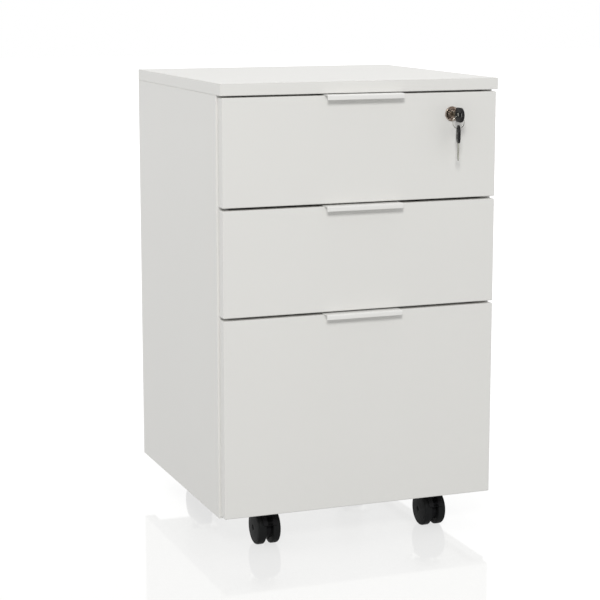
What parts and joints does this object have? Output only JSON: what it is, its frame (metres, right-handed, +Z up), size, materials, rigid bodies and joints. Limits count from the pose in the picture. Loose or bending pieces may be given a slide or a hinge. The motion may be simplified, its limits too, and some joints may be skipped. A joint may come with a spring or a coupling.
{
  "type": "mobile drawer pedestal",
  "caption": "White board drawer pedestal on twin-wheel casters, with shallow drawers over a deep file drawer, folded edge pulls and a key lock with hanging spare key.",
  "frame": {"origin": "on the floor under the middle of the whole object, handles and keys included", "axes": "+X to the right of someone facing the drawers, +Y from the drawer faces to the back, +Z up"},
  "size_m": [0.4, 0.422, 0.6375],
  "materials": {
    "laminated_board": "white melamine facing, satin",
    "drawer_board": "white melamine facing, satin, thinner board",
    "thin_board": "white-faced hardboard, semi-matt",
    "dowel_wood": "fluted beech",
    "white_powder_coat": "white powder coat, satin",
    "slide_steel": "zinc-plated cold-rolled steel",
    "zinc": "zinc-plated steel",
    "lock_chrome": "polished nickel plate",
    "key_plastic": "black moulded plastic head on a nickel-plated blade",
    "caster_plastic": "black nylon, fine moulded texture",
    "wheel_plastic": "black nylon wheels, semi-matt"
  },
  "bodies": {
    "cabinet": {"top_panel": "laminated_board", "left_side_panel": "laminated_board", "right_side_panel": "laminated_board", "back_panel": "thin_board", "bottom_panel": "laminated_board", "front_top_rail": "laminated_board", "rear_top_rail": "laminated_board", "panel_dowels": "dowel_wood", "cam_fittings": "zinc", "fixing_screws": "zinc", "caster_plates": "zinc", "top_drawer_cabinet_rails": "slide_steel", "second_drawer_cabinet_rails": "slide_steel", "file_drawer_cabinet_rails": "slide_steel"},
    "top_drawer": {"top_drawer_front": "laminated_board", "top_drawer_left_wall": "drawer_board", "top_drawer_right_wall": "drawer_board", "top_drawer_back_wall": "drawer_board", "top_drawer_bottom": "thin_board", "top_drawer_handle": "white_powder_coat", "top_drawer_screws": "zinc", "top_drawer_inner_rails": "slide_steel", "lock_housing": "lock_chrome"},
    "top_drawer_middle_slides": {"top_drawer_middle_rails": "slide_steel"},
    "second_drawer": {"second_drawer_front": "laminated_board", "second_drawer_left_wall": "drawer_board", "second_drawer_right_wall": "drawer_board", "second_drawer_back_wall": "drawer_board", "second_drawer_bottom": "thin_board", "second_drawer_handle": "white_powder_coat", "second_drawer_screws": "zinc", "second_drawer_inner_rails": "slide_steel"},
    "second_drawer_middle_slides": {"second_drawer_middle_rails": "slide_steel"},
    "file_drawer": {"file_drawer_front": "laminated_board", "file_drawer_left_wall": "drawer_board", "file_drawer_right_wall": "drawer_board", "file_drawer_back_wall": "drawer_board", "file_drawer_bottom": "thin_board", "file_drawer_handle": "white_powder_coat", "file_drawer_screws": "zinc", "file_drawer_inner_rails": "slide_steel", "hanging_file_rails": "zinc"},
    "file_drawer_middle_slides": {"file_drawer_middle_rails": "slide_steel"},
    "lock_core": {"lock_plug": "lock_chrome", "lock_cam": "zinc", "lock_key": "key_plastic"},
    "ring": {"key_ring": "lock_chrome"},
    "hanging_key": {"spare_key": "key_plastic"},
    "front_left_caster": {"front_left_caster_hood": "caster_plastic", "front_left_caster_axle": "zinc"},
    "front_left_wheels": {"front_left_caster_wheels": "wheel_plastic"},
    "front_right_caster": {"front_right_caster_hood": "caster_plastic", "front_right_caster_axle": "zinc"},
    "front_right_wheels": {"front_right_caster_wheels": "wheel_plastic"},
    "rear_left_caster": {"rear_left_caster_hood": "caster_plastic", "rear_left_caster_axle": "zinc"},
    "rear_left_wheels": {"rear_left_caster_wheels": "wheel_plastic"},
    "rear_right_caster": {"rear_right_caster_hood": "caster_plastic", "rear_right_caster_axle": "zinc"},
    "rear_right_wheels": {"rear_right_caster_wheels": "wheel_plastic"}
  },
  "joints": [
    {"name": "top_drawer_slide", "type": "slide", "parent": "cabinet", "child": "top_drawer", "axis": [0, -1, 0], "range_m": [0, 0.32]},
    {"name": "top_drawer_middle_slide", "type": "slide", "parent": "cabinet", "child": "top_drawer_middle_slides", "axis": [0, -1, 0], "range_m": [0, 0.16]},
    {"name": "second_drawer_slide", "type": "slide", "parent": "cabinet", "child": "second_drawer", "axis": [0, -1, 0], "range_m": [0, 0.32]},
    {"name": "second_drawer_middle_slide", "type": "slide", "parent": "cabinet", "child": "second_drawer_middle_slides", "axis": [0, -1, 0], "range_m": [0, 0.16]},
    {"name": "file_drawer_slide", "type": "slide", "parent": "cabinet", "child": "file_drawer", "axis": [0, -1, 0], "range_m": [0, 0.32]},
    {"name": "file_drawer_middle_slide", "type": "slide", "parent": "cabinet", "child": "file_drawer_middle_slides", "axis": [0, -1, 0], "range_m": [0, 0.16]},
    {"name": "lock_turn", "type": "hinge", "parent": "top_drawer", "child": "lock_core", "pos_m": [0.1307, -0.174, 0.59], "axis": [0, 1, 0], "range_deg": [0, 90]},
    {"name": "ring_swing", "type": "hinge", "parent": "lock_core", "child": "ring", "pos_m": [0.1307, -0.1953, 0.5884], "axis": [1, 0, 0], "range_deg": [-35, 10]},
    {"name": "hanging_key_turn", "type": "hinge", "parent": "ring", "child": "hanging_key", "pos_m": [0.1307, -0.1953, 0.5799], "axis": [0, 1, 0], "range_deg": [-90, 0]},
    {"name": "front_left_swivel", "type": "hinge", "parent": "cabinet", "child": "front_left_caster", "pos_m": [-0.125, -0.111, 0.0575], "axis": [0, 0, 1], "continuous": true},
    {"name": "front_left_roll", "type": "hinge", "parent": "front_left_caster", "child": "front_left_wheels", "pos_m": [-0.125, -0.129, 0.024], "axis": [1, 0, 0], "continuous": true},
    {"name": "front_right_swivel", "type": "hinge", "parent": "cabinet", "child": "front_right_caster", "pos_m": [0.125, -0.111, 0.0575], "axis": [0, 0, 1], "continuous": true},
    {"name": "front_right_roll", "type": "hinge", "parent": "front_right_caster", "child": "front_right_wheels", "pos_m": [0.125, -0.129, 0.024], "axis": [1, 0, 0], "continuous": true},
    {"name": "rear_left_swivel", "type": "hinge", "parent": "cabinet", "child": "rear_left_caster", "pos_m": [-0.125, 0.148, 0.0575], "axis": [0, 0, 1], "continuous": true},
    {"name": "rear_left_roll", "type": "hinge", "parent": "rear_left_caster", "child": "rear_left_wheels", "pos_m": [-0.125, 0.166, 0.024], "axis": [1, 0, 0], "continuous": true},
    {"name": "rear_right_swivel", "type": "hinge", "parent": "cabinet", "child": "rear_right_caster", "pos_m": [0.125, 0.148, 0.0575], "axis": [0, 0, 1], "continuous": true},
    {"name": "rear_right_roll", "type": "hinge", "parent": "rear_right_caster", "child": "rear_right_wheels", "pos_m": [0.125, 0.166, 0.024], "axis": [1, 0, 0], "continuous": true}
  ],
  "couplings": [
    {"joint": "top_drawer_middle_slide", "follows": "top_drawer_slide", "ratio": 0.5},
    {"joint": "second_drawer_middle_slide", "follows": "second_drawer_slide", "ratio": 0.5},
    {"joint": "file_drawer_middle_slide", "follows": "file_drawer_slide", "ratio": 0.5},
    {"joint": "hanging_key_turn", "follows": "lock_turn", "ratio": -1}
  ]
}
